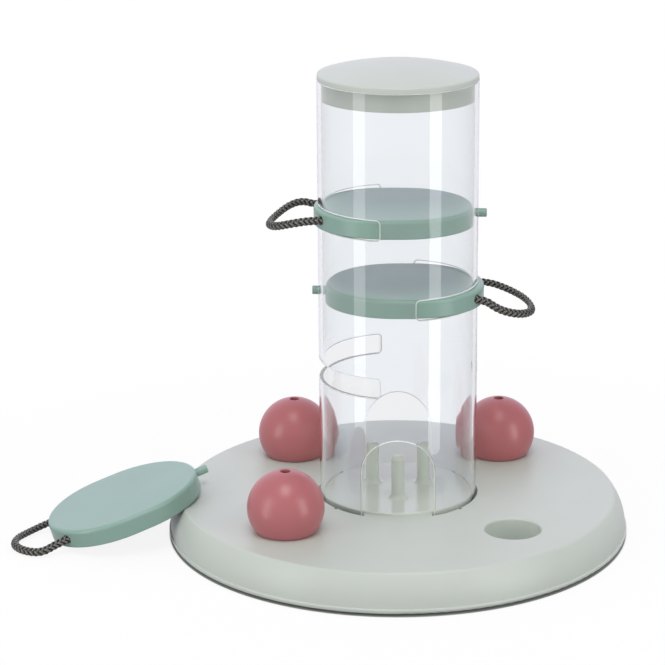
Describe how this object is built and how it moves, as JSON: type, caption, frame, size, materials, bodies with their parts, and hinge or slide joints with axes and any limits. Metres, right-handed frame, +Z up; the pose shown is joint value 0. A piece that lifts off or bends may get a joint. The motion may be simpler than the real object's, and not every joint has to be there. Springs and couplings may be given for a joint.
{
  "type": "cat puzzle tower",
  "caption": "Treat puzzle for cats: a round base plate with bowls and domes, and a clear tower with pull-out sliders on cord loops under a lift-off lid.",
  "frame": {"origin": "on the axis of the tower tube, at the floor that the feet stand on", "axes": "+Z up along the tube, -Y towards the front doorway and the viewer, -X towards the side where the upper slider comes out and the lower slider lies"},
  "size_m": [0.333, 0.25, 0.2577],
  "materials": {
    "pale_plastic": "satin moulded plastic, pale grey-green",
    "green_plastic": "satin moulded plastic, sea green",
    "rose_plastic": "satin moulded plastic, dusty rose",
    "clear_plastic": "clear polished plastic, standing for glass-like polystyrene",
    "foot_rubber": "matt rubber",
    "dark_cord": "round braided cord, near black"
  },
  "bodies": {
    "base": {"base_plate": "pale_plastic", "foot_right": "foot_rubber", "foot_back": "foot_rubber", "foot_left": "foot_rubber", "foot_front": "foot_rubber"},
    "tower": {"tower_tube": "clear_plastic"},
    "lid": {"tower_cap": "pale_plastic"},
    "upper": {"upper_slider": "green_plastic", "upper_cord": "dark_cord", "upper_knot_front": "dark_cord", "upper_knot_back": "dark_cord"},
    "middle": {"middle_slider": "green_plastic", "middle_cord": "dark_cord", "middle_knot_front": "dark_cord", "middle_knot_back": "dark_cord"},
    "lower": {"lower_slider": "green_plastic", "lower_cord": "dark_cord", "lower_knot_front": "dark_cord", "lower_knot_back": "dark_cord"},
    "back_left": {"dome_back_left": "rose_plastic"},
    "front_left": {"dome_front_left": "rose_plastic"},
    "back_right": {"dome_back_right": "rose_plastic"}
  },
  "joints": [
    {"name": "tower_lift", "type": "slide", "parent": "base", "child": "tower", "axis": [0, 0, 1], "range_m": [0, 0.04]},
    {"name": "lid_lift", "type": "slide", "parent": "tower", "child": "lid", "axis": [0, 0, 1], "range_m": [0, 0.03]},
    {"name": "upper_slide", "type": "slide", "parent": "tower", "child": "upper", "axis": [-1, 0, 0], "range_m": [0, 0.095]},
    {"name": "middle_slide", "type": "slide", "parent": "tower", "child": "middle", "axis": [1, 0, 0], "range_m": [-0.001, 0.094]},
    {"name": "lower_lift", "type": "slide", "parent": "base", "child": "lower", "axis": [0, 0, 1], "range_m": [0, 0.05]},
    {"name": "back_left_lift", "type": "slide", "parent": "base", "child": "back_left", "axis": [0, 0, 1], "range_m": [0, 0.05]},
    {"name": "front_left_lift", "type": "slide", "parent": "base", "child": "front_left", "axis": [0, 0, 1], "range_m": [0, 0.05]},
    {"name": "back_right_lift", "type": "slide", "parent": "base", "child": "back_right", "axis": [0, 0, 1], "range_m": [0, 0.05]}
  ]
}
